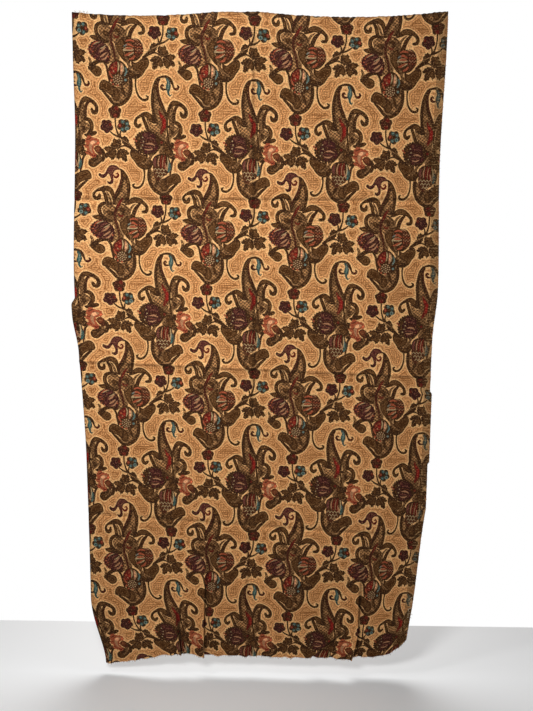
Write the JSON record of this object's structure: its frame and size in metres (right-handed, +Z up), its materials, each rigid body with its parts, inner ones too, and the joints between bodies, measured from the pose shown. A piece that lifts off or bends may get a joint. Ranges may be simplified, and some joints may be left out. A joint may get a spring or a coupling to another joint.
{
  "type": "curtain panel",
  "caption": "Flat hanging curtain panel of heavy figured tapestry cloth, pinned by its top edge, gathered into tucks above a frayed hem, with pressed creases that it folds along.",
  "frame": {"origin": "on the back of the top turning, at the middle of the panel's width and of the turning's height", "axes": "+Z up along the drop, +X to the viewer's right, the cloth's right side faces -Y and its back faces the wall at +Y"},
  "size_m": [1.4298, 0.0334, 2.5938],
  "materials": {
    "figured_cloth": "heavy figured tapestry weave: gold ground, dark olive leaves, plum, red, coral, teal and cream flowers; matt, ribbed, slightly slubby",
    "turned_edge": "the same cloth turned over and sewn down, two layers, dark along the fold",
    "selvedge_weave": "plain tight woven selvedge, greyish brown with pale cross threads",
    "frayed_yarn": "loose warp yarn ends, matt and hairy"
  },
  "bodies": {
    "heading": {"top_turning": "turned_edge"},
    "leaf_1": {"cloth_leaf_1": "figured_cloth", "side_turning_1": "turned_edge", "selvedge_1": "selvedge_weave"},
    "leaf_2": {"cloth_leaf_2": "figured_cloth", "side_turning_2": "turned_edge", "selvedge_2": "selvedge_weave"},
    "leaf_3": {"cloth_leaf_3": "figured_cloth", "side_turning_3": "turned_edge", "selvedge_3": "selvedge_weave"},
    "leaf_4": {"cloth_leaf_4": "figured_cloth", "side_turning_4": "turned_edge", "selvedge_4": "selvedge_weave", "frayed_hem": "frayed_yarn"}
  },
  "joints": [
    {"name": "panel_swing", "type": "hinge", "parent": "heading", "child": "leaf_1", "pos_m": [0, -0.0024, -0.02], "axis": [-1, 0, 0], "range_deg": [0, 85]},
    {"name": "crease_1_fold", "type": "hinge", "parent": "leaf_1", "child": "leaf_2", "pos_m": [0, -0.0024, -0.661], "axis": [-1, 0, 0], "range_deg": [0, 170]},
    {"name": "crease_2_fold", "type": "hinge", "parent": "leaf_2", "child": "leaf_3", "pos_m": [0, 0, -1.316], "axis": [0.9992, 0, -0.039], "range_deg": [0, 170]},
    {"name": "crease_3_fold", "type": "hinge", "parent": "leaf_3", "child": "leaf_4", "pos_m": [0, -0.0024, -1.966], "axis": [-0.998, 0, 0.0629], "range_deg": [0, 150]}
  ]
}
